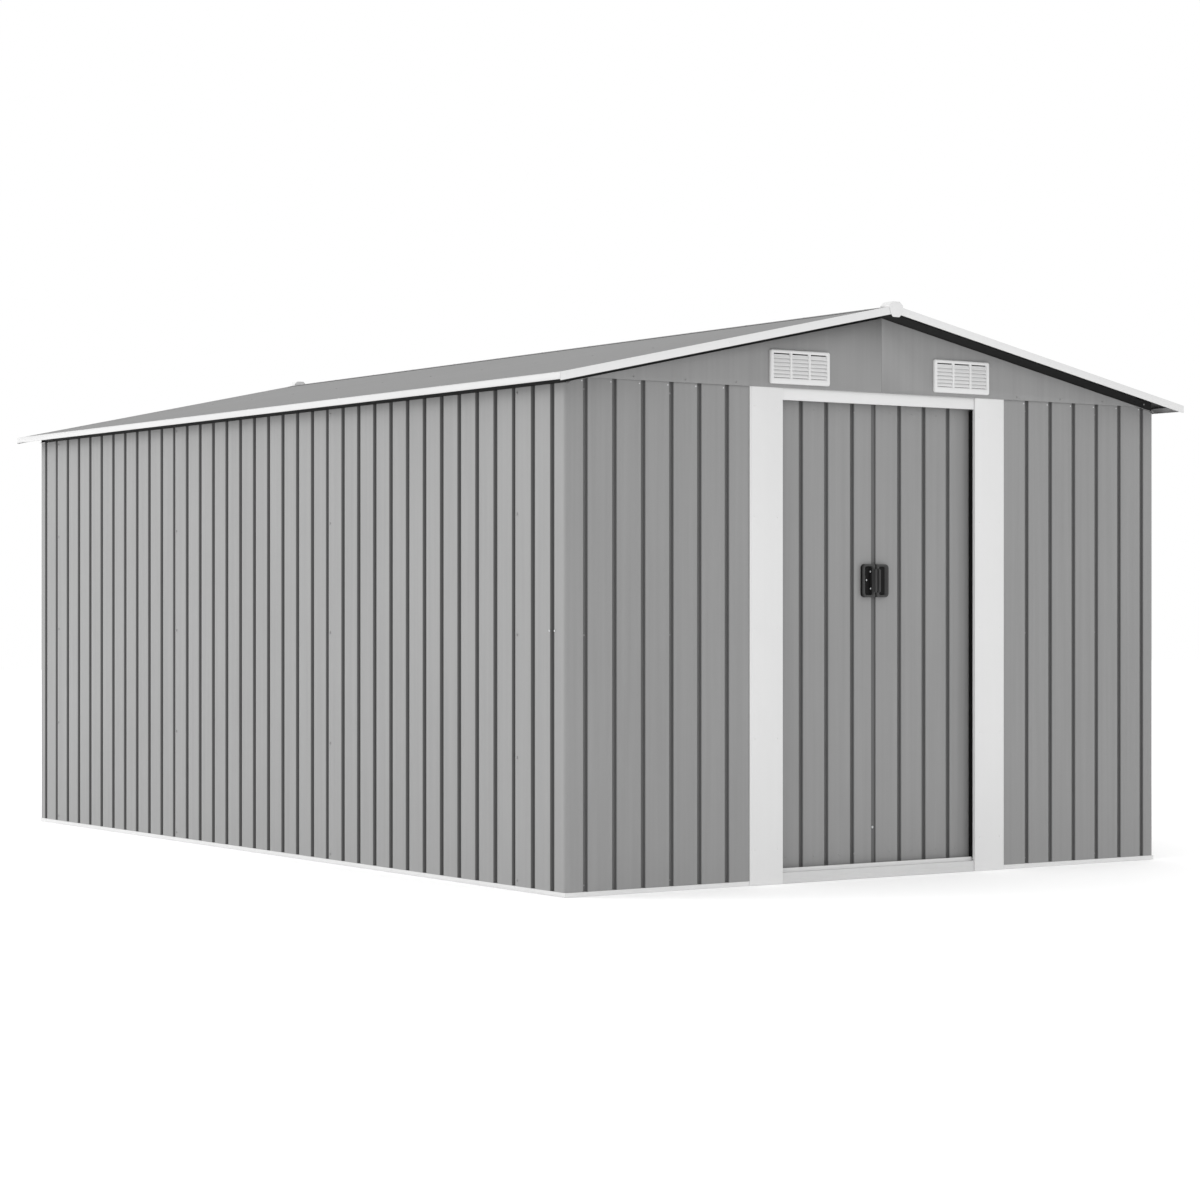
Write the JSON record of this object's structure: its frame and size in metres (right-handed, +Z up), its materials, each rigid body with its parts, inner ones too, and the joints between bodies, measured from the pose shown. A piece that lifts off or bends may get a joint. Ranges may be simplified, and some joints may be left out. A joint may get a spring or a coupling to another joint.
{
  "type": "metal storage shed",
  "caption": "Garden storage shed of ribbed steel sheet with a low gable roof, white trims, gable vents and a pair of sliding doors.",
  "frame": {"origin": "on the ground, at the middle of the whole shed's outline seen from above", "axes": "+Z up, +Y along the side walls away from the doors, +X to the right for a person who faces the doors"},
  "size_m": [2.536, 3.981, 1.822],
  "materials": {
    "wall_grey": "satin grey coil paint on ribbed steel sheet",
    "roof_grey": "satin grey coil paint on steel sheet",
    "door_grey": "satin grey coil paint on ribbed steel sheet",
    "trim_white": "satin white paint",
    "base_white": "satin white paint",
    "cap_white": "moulded white plastic",
    "vent_white": "moulded white plastic",
    "handle_black": "moulded black plastic",
    "shoe_plastic": "slippery white plastic",
    "sill_grey": "satin light grey paint",
    "zinc_steel": "galvanised"
  },
  "bodies": {
    "shed": {"back_sheet": "wall_grey", "base_rail_back": "base_white", "base_rail_front_left": "base_white", "base_rail_front_right": "base_white", "base_rail_left": "base_white", "base_rail_right": "base_white", "corner_sheet_back_left": "wall_grey", "corner_sheet_back_right": "wall_grey", "corner_sheet_front_left": "wall_grey", "corner_sheet_front_right": "wall_grey", "door_lintel": "trim_white", "door_sill": "sill_grey", "eave_trim_left": "trim_white", "eave_trim_right": "trim_white", "gable_back_left": "wall_grey", "gable_back_right": "wall_grey", "gable_front_left": "wall_grey", "gable_front_right": "wall_grey", "header_track": "trim_white", "jamb_left": "trim_white", "jamb_right": "trim_white", "lower_track": "trim_white", "mid_rails": "zinc_steel", "purlins": "zinc_steel", "ridge_beam": "zinc_steel", "ridge_cap": "roof_grey", "ridge_end_back": "cap_white", "ridge_end_front": "cap_white", "roof_left": "roof_grey", "roof_right": "roof_grey", "side_sheet_left_1": "wall_grey", "side_sheet_left_2": "wall_grey", "side_sheet_left_3": "wall_grey", "side_sheet_right_1": "wall_grey", "side_sheet_right_2": "wall_grey", "side_sheet_right_3": "wall_grey", "top_rails": "zinc_steel", "vents_back": "vent_white", "vents_front": "vent_white", "verge_trims_back": "trim_white", "verge_trims_front": "trim_white"},
    "left_door": {"door_left": "door_grey", "door_left_rails": "zinc_steel", "door_left_shoes": "shoe_plastic", "handle_left": "handle_black"},
    "right_door": {"door_right": "door_grey", "door_right_rails": "zinc_steel", "door_right_shoes": "shoe_plastic", "handle_right": "handle_black"}
  },
  "joints": [
    {"name": "left_door_slide", "type": "slide", "parent": "shed", "child": "left_door", "axis": [-1, 0, 0], "range_m": [0, 0.335]},
    {"name": "right_door_slide", "type": "slide", "parent": "shed", "child": "right_door", "axis": [1, 0, 0], "range_m": [0, 0.335]}
  ]
}
